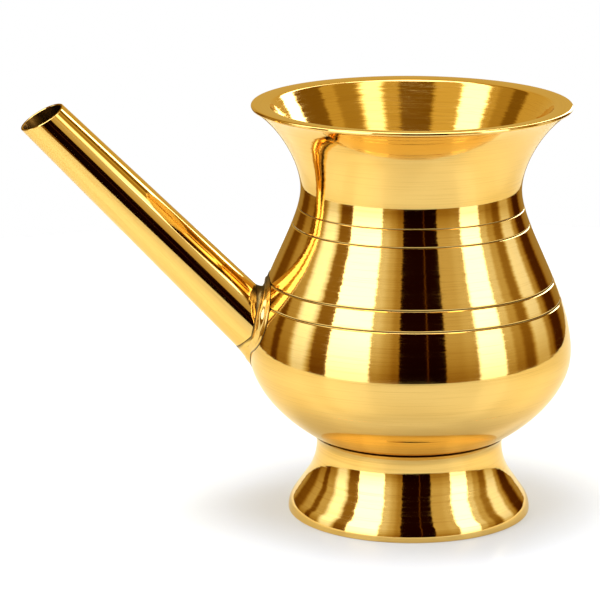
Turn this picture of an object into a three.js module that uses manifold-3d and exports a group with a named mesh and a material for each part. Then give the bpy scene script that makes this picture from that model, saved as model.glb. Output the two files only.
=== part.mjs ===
// A spouted brass lota: a round-bellied water vessel on a flared foot, with a straight
// pouring spout at 45 degrees. Millimetres, +Z up, the spout towards -X. The origin is on
// the table, under the middle of the whole length with the spout.
//
// The body is two shells brazed together just under the belly's widest line. The foot and
// the spout are brazed on, each with filler metal of its own round it.
import * as THREE from "three";
import { mergeVertices } from "three/addons/utils/BufferGeometryUtils.js";
import Module from "manifold-3d";

const wasm = await Module();
wasm.setup();

// Driving dimensions of the body
const TOTAL_HEIGHT = 127;
const RIM_RADIUS = 48.5;
const RIM_EDGE = 1.3; // thickness of the rim at its outer edge
const RIM_UNDERCUT = 60; // how far below level the round of that edge starts
const LIP_WIDTH = 5.6; // the flat turned on top of the rim
const LIP_FALL = 0.4; // how far that flat drops towards the mouth
const NECK_RADIUS = 33.55;
const NECK_HEIGHT = 101;
const BELLY_RADIUS = 49.25;
const BELLY_HEIGHT = 50.6;
const BOWL_BASE_HEIGHT = 16.4; // underside of the bowl on the axis
const WALL = 2;
const SEAM_DROP = 11; // from the belly's widest line to where the two shells meet
const SEAM_LAND = 0.8; // the shells touch over this width, and are bevelled inside it
const SEAM_BEVEL = 1.6;

// How full each stretch of the body's outline is, as the reach of its curve's handles
const BOWL_FLAT = 23.9;
const BOWL_ROUND = 16.35;
const BELLY_ROUND = 18.25;
const NECK_ROUND = 12.1;
const THROAT_ROUND = 8.2;
const FLARE_REACH = 9.3;
const FLARE_ANGLE = 34; // above level, on the outside where the flare meets the rim
const THROAT_CORNER = 8; // radius of the round between the throat's cone and the neck
const THROAT_RISE = 5.75; // how far up the neck's inside stays upright

// Turned lines, one pair under the neck and one over the belly
const NECK_LINE_DROP = 5.5; // from the neck's narrowest line
const NECK_LINE_SPACING = 5.2;
const BELLY_LINE_RISE = 16.6; // from the belly's widest line
const BELLY_LINE_SPACING = 5.9;
const NECK_LINE_WIDTH = 0.85;
const NECK_LINE_DEPTH = 0.24;
const BELLY_LINE_WIDTH = 1.1;
const BELLY_LINE_DEPTH = 0.32;

// The foot
const FOOT_RADIUS = 37.2;
const FOOT_WAIST_RADIUS = 28.5; // at its narrowest
const FOOT_TOP_RADIUS = 29.7; // where it meets the bowl
const FOOT_WALL = 1.9;
const FOOT_EDGE_ROUND = 0.6;
const FOOT_EDGE = 0.7; // height of the upright band round its bottom edge
const FOOT_SHOULDER = 8; // radius of the round from the band to the straight flank
const FOOT_FLANK = 6.8; // length of that flank, up to the hollow that ends at the narrowest place
const FOOT_CUP = 5; // radius of the outward sweep from there to the bowl
const FOOT_BRAZE_LEG = 2.6;

// The spout
const SPOUT_ANGLE = 45; // from upright
const SPOUT_RISE = 8.8; // from the belly's widest line to where its axis leaves the body
const SPOUT_LENGTH = 89.6; // from there to the middle of the mouth, along the axis
const SPOUT_ROOT_RADIUS = 8.95;
const SPOUT_MOUTH_RADIUS = 7.05;
const SPOUT_WALL = 0.7;
const MOUTH_PITCH = 29.2; // the plane of the mouth above level
const MOUTH_ROLL = 9; // its lean towards the front
const BRAZE_TOP_LEG = 5; // how far the braze spreads on the body over the spout
const BRAZE_SIDE_LEG = 10.4; // and beside it, where it spreads furthest
const BRAZE_LOW_LEG = 1.2; // and under it
const BRAZE_WIDEST = 70; // angle from the spout's upper side where it spreads furthest
const BRAZE_NARROW = 130; // and from where on it is narrow
const BRAZE_SPOUT_LEG = 1.2; // how far it runs up the spout's sides
const BRAZE_TOP_RISE = 2; // how much further it runs up the spout's top
const BRAZE_TAIL_END = -1.7; // where its tail under the spout ends, along the spout
const BRAZE_ROUND = 1.5; // width on the body of the hollow round against the spout
const BRAZE_EDGE = 0.3; // thickness where the braze ends
const BRAZE_BEAD = 1.1; // height of the bead that stands on it, and fades out on the top
const BEAD_MIDDLE = 0.58; // where across the braze that bead is, and half its width,
const BEAD_HALF = 0.22; // both as shares

const JOINT_GAP = 0.3; // room between a brazed piece and what it sits on

// Fineness of the faceting: segments round a turned piece and a tube, and steps along
// each stretch of an outline
const TURN_SEGMENTS = 60;
const TUBE_SEGMENTS = 32;
const BOWL_STEPS = 10;
const SHOULDER_STEPS = 13;
const INNER_SHOULDER_STEPS = 9;
const FLARE_STEPS = 7;
const THROAT_STEPS = 5;
const HOLLOW_STEPS = 5;
const ROUND_STEPS = 3;
const FILLET_STEPS = 4;
const BRAZE_STEPS = 12;
const CUTTER_STEPS = 24;
const HALVINGS = 40; // enough to place a point on a curve exactly

const PAST_END = 30; // how far a cutting tool runs past what it cuts
const PAST_ROOT = 2 * SPOUT_ROOT_RADIUS; // how far inside the body the spout is made from

const seamHeight = BELLY_HEIGHT - SEAM_DROP;
const spoutHeight = BELLY_HEIGHT + SPOUT_RISE;
const neckLine = { width: NECK_LINE_WIDTH, depth: NECK_LINE_DEPTH };
const bellyLine = { width: BELLY_LINE_WIDTH, depth: BELLY_LINE_DEPTH };
const grooves = [
  { height: NECK_HEIGHT - NECK_LINE_DROP, ...neckLine },
  { height: NECK_HEIGHT - NECK_LINE_DROP - NECK_LINE_SPACING, ...neckLine },
  { height: BELLY_HEIGHT + BELLY_LINE_RISE + BELLY_LINE_SPACING, ...bellyLine },
  { height: BELLY_HEIGHT + BELLY_LINE_RISE, ...bellyLine },
];

const radians = THREE.MathUtils.degToRad;
const point = (radius, height) => new THREE.Vector2(radius, height);

// Manifold solids from three.js geometry, and back
function solidOf(geometry) {
  const bare = new THREE.BufferGeometry();
  const flat = geometry.index ? geometry.toNonIndexed() : geometry;
  bare.setAttribute("position", flat.getAttribute("position"));
  const merged = mergeVertices(bare, 1e-4);
  return new wasm.Manifold(
    new wasm.Mesh({
      numProp: 3,
      vertProperties: merged.attributes.position.array,
      triVerts: new Uint32Array(merged.index.array),
    }),
  );
}

function geometryOf(solid) {
  const mesh = solid.getMesh();
  const geometry = new THREE.BufferGeometry();
  geometry.setAttribute("position", new THREE.BufferAttribute(mesh.vertProperties, 3));
  geometry.setIndex(new THREE.BufferAttribute(mesh.triVerts, 1));
  return geometry;
}

// Turns a closed outline, given anticlockwise with radius to the right, about the Z axis
function turned(outline) {
  return new THREE.LatheGeometry(outline, TURN_SEGMENTS).rotateX(Math.PI / 2);
}

// The share along a curve at which one of its coordinates, which only grows or only
// falls, reaches a value
function shareAt(curve, axis, value) {
  const rising = curve.getPoint(1)[axis] > curve.getPoint(0)[axis];
  let low = 0;
  let high = 1;
  for (let step = 0; step < HALVINGS; step += 1) {
    const middle = (low + high) / 2;
    if (curve.getPoint(middle)[axis] < value === rising) low = middle;
    else high = middle;
  }
  return (low + high) / 2;
}

// A point of a curve moved square to it, to the left of the way it runs
function offsetPoint(curve, share, distance) {
  const tangent = curve.getTangent(share);
  return curve.getPoint(share).add(point(-tangent.y, tangent.x).multiplyScalar(distance));
}

// Evenly spaced shares from one to another, both included
function shares(from, to, steps) {
  return Array.from({ length: steps + 1 }, (_, step) => from + ((to - from) * step) / steps);
}

// Points of an arc, by the angle from the outward way. A radius below zero gives the arc
// that has the centre outside it.
function arc(centre, radius, from, to, steps) {
  return shares(from, to, steps).map((angle) =>
    point(centre.x + radius * Math.cos(angle), centre.y + radius * Math.sin(angle)),
  );
}

// The body's outside, from the middle of its underside up to the rim
const bowlCurve = new THREE.CubicBezierCurve(
  point(0, BOWL_BASE_HEIGHT),
  point(BOWL_FLAT, BOWL_BASE_HEIGHT),
  point(BELLY_RADIUS, BELLY_HEIGHT - BOWL_ROUND),
  point(BELLY_RADIUS, BELLY_HEIGHT),
);
const shoulderCurve = new THREE.CubicBezierCurve(
  point(BELLY_RADIUS, BELLY_HEIGHT),
  point(BELLY_RADIUS, BELLY_HEIGHT + BELLY_ROUND),
  point(NECK_RADIUS, NECK_HEIGHT - NECK_ROUND),
  point(NECK_RADIUS, NECK_HEIGHT),
);
const flareTop = point(RIM_RADIUS - RIM_EDGE / 2, TOTAL_HEIGHT - RIM_EDGE);
const flareCurve = new THREE.CubicBezierCurve(
  point(NECK_RADIUS, NECK_HEIGHT),
  point(NECK_RADIUS, NECK_HEIGHT + THROAT_ROUND),
  point(
    flareTop.x - FLARE_REACH * Math.cos(radians(FLARE_ANGLE)),
    flareTop.y - FLARE_REACH * Math.sin(radians(FLARE_ANGLE)),
  ),
  flareTop,
);

// The inside of the flare: a straight cone down from the inner edge of the lip, and an arc
// that touches it and the upright inside of the neck
const lipInner = point(RIM_RADIUS - LIP_WIDTH, TOTAL_HEIGHT - LIP_FALL);
const throatCentre = point(NECK_RADIUS - WALL + THROAT_CORNER, NECK_HEIGHT + THROAT_RISE);
const lipFromThroat = lipInner.clone().sub(throatCentre);
const throatLean =
  Math.PI - lipFromThroat.angle() - Math.acos(THROAT_CORNER / lipFromThroat.length());

// The outside radius of the body at a height, for what is fitted to it
function bodyRadius(height) {
  for (const curve of [bowlCurve, shoulderCurve, flareCurve]) {
    if (height <= curve.getPoint(1).y) return curve.getPoint(shareAt(curve, "y", height)).x;
  }
  return RIM_RADIUS;
}

const seamShare = shareAt(bowlCurve, "y", seamHeight);
const seamOuter = bowlCurve.getPoint(seamShare);
const seamLand = point(seamOuter.x - SEAM_LAND, seamHeight);

// A point on the bowl's inside at a height
function bowlInside(height) {
  let low = 0;
  let high = 1;
  for (let step = 0; step < HALVINGS; step += 1) {
    const middle = (low + high) / 2;
    if (offsetPoint(bowlCurve, middle, WALL).y < height) low = middle;
    else high = middle;
  }
  return { share: low, at: offsetPoint(bowlCurve, low, WALL) };
}
const seamBelow = bowlInside(seamHeight - SEAM_BEVEL);
const seamAbove = bowlInside(seamHeight + SEAM_BEVEL);

// The lower shell: a deep dish, up to the seam
function lowerBowl() {
  const outside = shares(0, seamShare, BOWL_STEPS).map((share) => bowlCurve.getPoint(share));
  const inside = shares(seamBelow.share, 0, BOWL_STEPS).map((share) =>
    offsetPoint(bowlCurve, share, WALL),
  );
  inside[inside.length - 1].x = 0;
  return turned([...outside, seamLand, ...inside]);
}

// Heights up the shoulder, with three for each groove and none of the others inside one
function shoulderHeights() {
  const even = shares(BELLY_HEIGHT, NECK_HEIGHT, SHOULDER_STEPS).slice(1);
  const clear = even.filter((height) =>
    grooves.every((groove) => Math.abs(height - groove.height) > groove.width),
  );
  const cut = grooves.flatMap((groove) =>
    [-0.5, 0, 0.5].map((part) => groove.height + part * groove.width),
  );
  return [...clear, ...cut].sort((a, b) => a - b);
}

// A point on the shoulder's outside, sunk where it is the bottom of a groove
function shoulderPoint(height) {
  const share = shareAt(shoulderCurve, "y", height);
  const groove = grooves.find((candidate) => candidate.height === height);
  return offsetPoint(shoulderCurve, share, groove ? groove.depth : 0);
}

// The rim's edge: a small round out from the flare and back onto the lip
function rimEdge() {
  const round = RIM_EDGE / 2;
  const centre = point(RIM_RADIUS - round, TOTAL_HEIGHT - round);
  return arc(centre, round, -radians(RIM_UNDERCUT), Math.PI / 2, FILLET_STEPS);
}

// The inside of the vessel from the lip down to the belly's widest line
function insideToBelly() {
  return [
    lipInner,
    ...arc(throatCentre, -THROAT_CORNER, -throatLean, 0, THROAT_STEPS),
    ...shares(1, 0, INNER_SHOULDER_STEPS)
      .slice(0, -1)
      .map((share) => offsetPoint(shoulderCurve, share, WALL)),
  ];
}

// The inside of the bowl from the belly's widest line down to a share of its curve
function insideBelow(share, steps) {
  return shares(1, share, steps).map((place) => offsetPoint(bowlCurve, place, WALL));
}

// The upper shell: belly, shoulder, neck and flared rim, with the hole for the spout
function upperBody(spoutHole) {
  const belly = shares(seamShare, 1, ROUND_STEPS).map((share) => bowlCurve.getPoint(share));
  const shoulder = shoulderHeights().map(shoulderPoint);
  const flare = shares(0, 1, FLARE_STEPS).slice(1).map((share) => flareCurve.getPoint(share));
  const outside = [...belly, ...shoulder, ...flare, ...rimEdge()];
  const inside = [...insideToBelly(), ...insideBelow(seamAbove.share, ROUND_STEPS)];
  const shell = [seamLand, ...outside, ...inside, seamLand];
  return geometryOf(solidOf(turned(shell)).subtract(spoutHole));
}

// The braze that fills the bevels inside the seam
function bellyBraze() {
  return turned([seamLand, seamAbove.at, seamBelow.at, seamLand]);
}

// The height of the foot's bevelled top at a radius, a joint's gap under the bowl
function footTopHeight(radius) {
  const share = shareAt(bowlCurve, "x", radius);
  const tangent = bowlCurve.getTangent(share);
  return bowlCurve.getPoint(share).y - JOINT_GAP / tangent.x;
}

// The foot's side: a round above the bottom band, a straight flank, a hollow up to the
// narrowest place, and a sweep out to the bowl. The flank touches the round and the hollow.
const sweepTurn = Math.acos(1 - (FOOT_TOP_RADIUS - FOOT_WAIST_RADIUS) / FOOT_CUP);
const waistHeight = footTopHeight(FOOT_TOP_RADIUS) - FOOT_CUP * Math.sin(sweepTurn);
const waistRise = waistHeight - FOOT_EDGE;
const waistDepth = FOOT_RADIUS - FOOT_WAIST_RADIUS;
const bothRadii = (waistDepth ** 2 + waistRise ** 2 - FOOT_FLANK ** 2) / (2 * waistDepth);
const hollowRadius = bothRadii - FOOT_SHOULDER;
const roundCentre = point(FOOT_RADIUS - FOOT_SHOULDER, FOOT_EDGE);
const hollowCentre = point(FOOT_WAIST_RADIUS + hollowRadius, waistHeight);
const sweepCentre = point(FOOT_WAIST_RADIUS + FOOT_CUP, waistHeight);
const across = hollowCentre.clone().sub(roundCentre);
const flankLean = across.angle() - Math.acos(bothRadii / across.length());

// That side up to the narrowest place, moved inwards
function footSide(inwards) {
  return [
    ...arc(roundCentre, FOOT_SHOULDER - inwards, 0, flankLean, ROUND_STEPS),
    ...arc(hollowCentre, -hollowRadius - inwards, flankLean, 0, HOLLOW_STEPS),
  ];
}

// An open flared ring, its top bevelled to the underside of the bowl
function foot() {
  const sole = [
    point(FOOT_RADIUS - FOOT_WALL, 0),
    point(FOOT_RADIUS - FOOT_EDGE_ROUND, 0),
    point(FOOT_RADIUS, FOOT_EDGE_ROUND),
  ];
  const sweep = arc(sweepCentre, -FOOT_CUP, 0, -sweepTurn, ROUND_STEPS).slice(1);
  const innerRadius = FOOT_WAIST_RADIUS - FOOT_WALL;
  const topInner = point(innerRadius, footTopHeight(innerRadius));
  const inside = footSide(FOOT_WALL).reverse();
  return turned([...sole, ...footSide(0), ...sweep, topInner, ...inside, sole[0]]);
}

// The braze in the corner between the foot's inside and the bowl's underside
function footBraze() {
  const wall = FOOT_WAIST_RADIUS - FOOT_WALL - JOINT_GAP;
  const inner = wall - FOOT_BRAZE_LEG;
  const corner = point(wall, footTopHeight(wall));
  const onWall = point(wall, footTopHeight(wall) - FOOT_BRAZE_LEG);
  const onBowl = point(inner, footTopHeight(inner));
  const hollow = point((wall * 2 + inner) / 3, (onWall.y + onBowl.y * 2) / 3);
  return turned([onWall, corner, onBowl, hollow, onWall]);
}

// The spout's axis, and a local frame that has it as Z and the spout's upper side as X
const spoutRoot = new THREE.Vector3(-bodyRadius(spoutHeight), 0, spoutHeight);
const spoutFrame = new THREE.Matrix4()
  .makeTranslation(spoutRoot.x, spoutRoot.y, spoutRoot.z)
  .multiply(new THREE.Matrix4().makeRotationY(-radians(SPOUT_ANGLE)));

function spoutRadius(along) {
  return THREE.MathUtils.lerp(SPOUT_ROOT_RADIUS, SPOUT_MOUTH_RADIUS, along / SPOUT_LENGTH);
}

// A solid cone frustum on the spout's axis, grown by an amount over the spout's outside
function spoutCone(from, to, growth) {
  const outline = [
    point(0, from),
    point(spoutRadius(from) + growth, from),
    point(spoutRadius(to) + growth, to),
    point(0, to),
  ];
  const geometry = new THREE.LatheGeometry(outline, TUBE_SEGMENTS).rotateX(Math.PI / 2);
  return solidOf(geometry.applyMatrix4(spoutFrame));
}

// Everything beyond the plane of the mouth
function mouthCutter() {
  const box = new THREE.BoxGeometry(PAST_END * 2, PAST_END * 2, PAST_END);
  const mouth = new THREE.Vector3(0, 0, SPOUT_LENGTH).applyMatrix4(spoutFrame);
  box.translate(0, 0, PAST_END / 2);
  box.rotateX(radians(MOUTH_ROLL)).rotateY(-radians(MOUTH_PITCH));
  return solidOf(box.translate(mouth.x, mouth.y, mouth.z));
}

// The hollow of the vessel as a solid, which trims the spout flush with the inside wall
function vesselHollow() {
  const wall = [...insideToBelly(), ...insideBelow(0, BOWL_STEPS).slice(0, -1)].reverse();
  return solidOf(turned([point(0, BOWL_BASE_HEIGHT + WALL), ...wall, point(0, lipInner.y)]));
}

function spout() {
  const length = SPOUT_LENGTH + PAST_END / 2;
  const bore = spoutCone(-PAST_END, SPOUT_LENGTH + PAST_END, -SPOUT_WALL);
  const tube = spoutCone(-PAST_ROOT, length, 0).subtract(bore);
  return geometryOf(tube.subtract(vesselHollow()).subtract(mouthCutter()));
}

// Where a line along the spout, at an angle round it and a height over its surface,
// comes out of the body
function spoutMeetsBody(angle, over) {
  let inside = -PAST_ROOT;
  let outside = SPOUT_LENGTH;
  for (let step = 0; step < HALVINGS; step += 1) {
    const middle = (inside + outside) / 2;
    const place = besideSpout(angle, middle, over);
    if (Math.hypot(place.x, place.y) < bodyRadius(place.z)) inside = middle;
    else outside = middle;
  }
  return (inside + outside) / 2;
}

function besideSpout(angle, along, over) {
  const radius = spoutRadius(along) + over;
  const place = new THREE.Vector3(radius * Math.cos(angle), radius * Math.sin(angle), along);
  return place.applyMatrix4(spoutFrame);
}

// How far the braze spreads on the body, by the angle from the spout's upper side
function brazeLeg(angle) {
  const turn = THREE.MathUtils.radToDeg(Math.min(angle, 2 * Math.PI - angle));
  const growing = THREE.MathUtils.smoothstep(turn, 0, BRAZE_WIDEST);
  const falling = THREE.MathUtils.smoothstep(turn, BRAZE_WIDEST, BRAZE_NARROW);
  const most = THREE.MathUtils.lerp(BRAZE_TOP_LEG, BRAZE_SIDE_LEG, growing);
  return THREE.MathUtils.lerp(most, BRAZE_LOW_LEG, falling);
}

// One section of the braze round the spout: down the spout in a hollow round, along the
// body over a bead, and back through the corner where both are
function brazeSection(angle) {
  const leg = brazeLeg(angle);
  const round = Math.min(leg, BRAZE_ROUND);
  const lift = JOINT_GAP + BRAZE_EDGE;
  const corner = spoutMeetsBody(angle, 0);
  const onTop = Math.max(0, Math.cos(angle)) ** 3;
  const upSpout = BRAZE_SPOUT_LEG + BRAZE_TOP_RISE * onTop;
  const spoutEnd = Math.max(corner + upSpout, BRAZE_TAIL_END);
  const surface = shares(0, 1, BRAZE_STEPS).map((share) => {
    const over = lift + share * (leg - lift);
    const rise = (spoutEnd - corner - lift) * Math.max(0, 1 - (over - lift) / round) ** 2;
    const offBead = Math.min(Math.abs(share - BEAD_MIDDLE) / BEAD_HALF, 1);
    const bead = BRAZE_BEAD * (1 - onTop) * (1 - offBead ** 2) ** 2;
    return besideSpout(angle, spoutMeetsBody(angle, over) + lift + rise + bead, over);
  });
  return [
    besideSpout(angle, corner - 2 * lift, -2 * lift),
    besideSpout(angle, spoutEnd, -2 * lift),
    ...surface,
    besideSpout(angle, spoutMeetsBody(angle, leg) - 2 * lift, leg),
  ];
}

// A closed ring through sections that follow one another round a loop
function ringThrough(sections) {
  const count = sections[0].length;
  const positions = sections.flat().flatMap((place) => place.toArray());
  const faces = [];
  sections.forEach((_, around) => {
    const next = ((around + 1) % sections.length) * count;
    const here = around * count;
    for (let across = 0; across < count; across += 1) {
      const other = (across + 1) % count;
      faces.push(here + across, next + other, next + across);
      faces.push(here + across, here + other, next + other);
    }
  });
  const geometry = new THREE.BufferGeometry();
  geometry.setAttribute("position", new THREE.Float32BufferAttribute(positions, 3));
  geometry.setIndex(faces);
  return geometry;
}

// The body's outside as a solid, grown all over
function grownBody(growth) {
  const outside = [bowlCurve, shoulderCurve, flareCurve].flatMap((curve) =>
    shares(0, 1, CUTTER_STEPS).slice(1).map((share) => offsetPoint(curve, share, -growth)),
  );
  const bottom = point(0, BOWL_BASE_HEIGHT - growth);
  const top = point(0, flareTop.y + growth);
  return solidOf(turned([bottom, ...outside, top]));
}

function spoutBraze(spoutHole) {
  const turns = shares(0, 2 * Math.PI, TUBE_SEGMENTS).slice(0, -1);
  const braze = solidOf(ringThrough(turns.map(brazeSection)));
  return geometryOf(braze.subtract(grownBody(JOINT_GAP)).subtract(spoutHole));
}

const metal = (color, roughness) =>
  new THREE.MeshStandardMaterial({ color, roughness, metalness: 1 });
const polishedBrass = metal(0xd9a441, 0.16);
const innerBrass = metal(0xd29b3c, 0.24);
const fillerMetal = metal(0xc79549, 0.3);

const spoutHole = spoutCone(-PAST_ROOT, SPOUT_LENGTH + PAST_END, JOINT_GAP);
const lota = new THREE.Group();

function addPiece(name, geometry, material) {
  const mesh = new THREE.Mesh(geometry, material);
  mesh.name = name;
  lota.add(mesh);
}

addPiece("lower_bowl", lowerBowl(), polishedBrass);
addPiece("upper_body", upperBody(spoutHole), polishedBrass);
addPiece("belly_braze", bellyBraze(), innerBrass);
addPiece("foot", foot(), polishedBrass);
addPiece("foot_braze", footBraze(), fillerMetal);
addPiece("spout", spout(), polishedBrass);
addPiece("spout_braze", spoutBraze(spoutHole), fillerMetal);

const extent = new THREE.Box3().setFromObject(lota);
lota.position.x = -(extent.min.x + extent.max.x) / 2;

export default lota;
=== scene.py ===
"""A spouted brass lota on a pale table: a round-bellied vessel, turned and polished, with a
flared rim, a hollow foot and a straight spout brazed to its side."""

import math

import bmesh
import bpy
import numpy as np
from mathutils import Matrix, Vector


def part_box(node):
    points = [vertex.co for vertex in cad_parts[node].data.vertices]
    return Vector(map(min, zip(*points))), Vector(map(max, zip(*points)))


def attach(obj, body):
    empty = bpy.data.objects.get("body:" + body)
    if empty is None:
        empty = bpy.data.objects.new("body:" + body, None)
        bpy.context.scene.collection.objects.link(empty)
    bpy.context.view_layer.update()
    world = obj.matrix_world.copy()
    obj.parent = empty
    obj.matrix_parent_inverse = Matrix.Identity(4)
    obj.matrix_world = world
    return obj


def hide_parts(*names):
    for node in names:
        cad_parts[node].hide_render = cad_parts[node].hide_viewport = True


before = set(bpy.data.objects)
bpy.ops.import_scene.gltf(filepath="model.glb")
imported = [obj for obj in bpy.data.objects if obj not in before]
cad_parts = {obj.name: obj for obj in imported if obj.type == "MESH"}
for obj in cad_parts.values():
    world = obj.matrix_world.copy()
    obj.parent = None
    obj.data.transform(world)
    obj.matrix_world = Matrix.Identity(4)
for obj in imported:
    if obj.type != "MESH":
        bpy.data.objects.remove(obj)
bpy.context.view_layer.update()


# Camera
# The lota is seen a little from above with its spout to the left, through a long lens from
# a metre away. The lens is level across, and the view is centred on the spout and body.
MM = 0.001
CAMERA_AWAY = 1000 * MM
CAMERA_PITCH = math.radians(13.727)
CAMERA_AIM_HEIGHT = 65.95 * MM
CAMERA_AIM_LEFT = 33.66 * MM
SENSOR = 36
LENS = 196.47

foot_low, foot_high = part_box("foot")
AXIS_X = (foot_low[0] + foot_high[0]) / 2

camera_data = bpy.data.cameras.new("camera")
camera_data.sensor_width = SENSOR
camera_data.lens = LENS
camera_data.clip_end = 20
camera = bpy.data.objects.new("camera", camera_data)
bpy.context.scene.collection.objects.link(camera)
camera.location = (
    AXIS_X - CAMERA_AIM_LEFT,
    -CAMERA_AWAY * math.cos(CAMERA_PITCH),
    CAMERA_AIM_HEIGHT + CAMERA_AWAY * math.sin(CAMERA_PITCH),
)
camera.rotation_euler = (math.pi / 2 - CAMERA_PITCH, 0, 0)
bpy.context.scene.camera = camera
bpy.context.scene.view_settings.view_transform = "Standard"


# Table
# A round table top of white laminate, a little glossy, with the lota in the middle. It
# shows white with the lota's soft shadow, which painted shade deepens: its glow is painted
# weaker near the lota. In the metal the glow is painted warmer, and dimmer straight ahead,
# a painted reflection. Past its edge there is only the studio.
TABLE_RADIUS = 410 * MM
TABLE_STEPS = 96
TABLE_COLOUR = "#BCC5D4"
TABLE_SHEEN = 0.05
TABLE_ROUGHNESS = 0.2
# The glow is painted weaker near the lota than far off: a painted shade round its foot.
GLOW_FROM = 42 * MM
GLOW_TO = 80 * MM
GLOW_NEAR = 0.28
GLOW_FAR = 0.56
# In the metal the glow is painted warmer, and dimmer straight ahead than to the sides: a painted
# reflection.
GLOW_IN_METAL = "#D6C06A"
DIM_TOWARDS = math.radians(12)  # its azimuth, round from straight ahead
DIM_LEVEL = 0.74
BRIGHT_LEVEL = 1.35
BRIGHT_FROM = 0.35  # the cosine of the angle away from there at which it is bright


def linear(hex_colour):
    """The linear colour of an sRGB hex value, by the sRGB curve, with alpha 1."""
    value = np.array([int(hex_colour[i : i + 2], 16) / 255 for i in (1, 3, 5)])
    curved = np.where(value <= 0.04045, value / 12.92, ((value + 0.055) / 1.055) ** 2.4)
    return (*curved.tolist(), 1.0)


def add_node(tree, kind, links=(), **settings):
    """Adds a node. links are (input, source) pairs, where a source is a number, a socket or
    a node, which stands for its first output. settings are the node's fields."""
    node = tree.nodes.new(kind)
    for field, value in settings.items():
        setattr(node, field, value)
    for name, value in links:
        if isinstance(value, bpy.types.Node):
            value = value.outputs[0]
        if isinstance(value, bpy.types.NodeSocket):
            tree.links.new(value, node.inputs[name])
        else:
            node.inputs[name].default_value = value
    return node


def new_material(name):
    """An empty node material and the tree of its nodes."""
    material = bpy.data.materials.new(name)
    material.use_nodes = True
    material.node_tree.nodes.clear()
    return material, material.node_tree


def add_mesh(name, places, faces, material):
    """A mesh object from an array of places in metres and an array of faces' corners."""
    mesh = bpy.data.meshes.new(name)
    mesh.from_pydata(places.tolist(), [], faces.tolist())
    mesh.materials.append(material)
    piece = bpy.data.objects.new(name, mesh)
    bpy.context.scene.collection.objects.link(piece)
    return piece


# White laminate: a plain, nearly matt white with a faint sheen, and a glow that is painted
# weaker near the lota (painted shade) and, in the metal, warmer and dimmer straight ahead
# (painted reflection).
table_paint, tree = new_material("white_laminate")
path = add_node(tree, "ShaderNodeLightPath")
mirrored = add_node(
    tree,
    "ShaderNodeMath",
    [(0, path.outputs["Is Glossy Ray"]), (1, path.outputs["Is Transmission Ray"])],
    operation="MAXIMUM",
)
seen = add_node(
    tree,
    "ShaderNodeMath",
    [(0, path.outputs["Is Camera Ray"]), (1, mirrored)],
    operation="MAXIMUM",
)
place = add_node(tree, "ShaderNodeTexCoord")
outward = add_node(
    tree,
    "ShaderNodeVectorMath",
    [(0, place.outputs["Object"]), (1, (AXIS_X, 0, 0))],
    operation="SUBTRACT",
)
from_axis = add_node(
    tree, "ShaderNodeVectorMath", [(0, outward)], operation="LENGTH"
).outputs["Value"]
# Painted shade: the glow is weaker near the lota.
spread = add_node(
    tree,
    "ShaderNodeMapRange",
    [
        ("Value", from_axis),
        ("From Min", GLOW_FROM),
        ("From Max", GLOW_TO),
        ("To Min", GLOW_NEAR),
        ("To Max", GLOW_FAR),
    ],
    interpolation_type="SMOOTHSTEP",
)
# Painted reflection: in the metal the glow is dimmer straight ahead and brighter to the sides.
way_out = add_node(tree, "ShaderNodeVectorMath", [(0, outward)], operation="NORMALIZE")
towards_dim = add_node(
    tree,
    "ShaderNodeVectorMath",
    [(0, way_out), (1, (math.sin(DIM_TOWARDS), -math.cos(DIM_TOWARDS), 0))],
    operation="DOT_PRODUCT",
).outputs["Value"]
by_side = add_node(
    tree,
    "ShaderNodeMapRange",
    [
        ("Value", towards_dim),
        ("From Min", BRIGHT_FROM),
        ("From Max", 1),
        ("To Min", BRIGHT_LEVEL),
        ("To Max", DIM_LEVEL),
    ],
    interpolation_type="SMOOTHSTEP",
)
side = add_node(tree, "ShaderNodeMix", [(0, mirrored), (2, 1), (3, by_side)], data_type="FLOAT")
level = add_node(tree, "ShaderNodeMath", [(0, spread), (1, side)], operation="MULTIPLY")
glow = add_node(tree, "ShaderNodeMath", [(0, seen), (1, level)], operation="MULTIPLY")
# Painted reflection: in the metal the glow is tinted warm.
tint = add_node(
    tree,
    "ShaderNodeMix",
    [(0, mirrored), (6, linear("#FFFFFF")), (7, linear(GLOW_IN_METAL))],
    data_type="RGBA",
)
matt = add_node(tree, "ShaderNodeBsdfDiffuse", [("Color", linear(TABLE_COLOUR))])
sheen = add_node(tree, "ShaderNodeBsdfGlossy", [("Roughness", TABLE_ROUGHNESS)])
top = add_node(tree, "ShaderNodeMixShader", [(0, TABLE_SHEEN), (1, matt), (2, sheen)])
light = add_node(tree, "ShaderNodeEmission", [("Color", tint.outputs[2]), ("Strength", glow)])
both = add_node(tree, "ShaderNodeAddShader", [(0, top), (1, light)])
add_node(tree, "ShaderNodeOutputMaterial", [("Surface", both)])

turns = np.linspace(0, 2 * np.pi, TABLE_STEPS, endpoint=False)
table_edge = np.column_stack(
    [AXIS_X + TABLE_RADIUS * np.cos(turns), TABLE_RADIUS * np.sin(turns), 0 * turns]
)
table = add_mesh("table", table_edge, np.arange(TABLE_STEPS)[None, :], table_paint)


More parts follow.
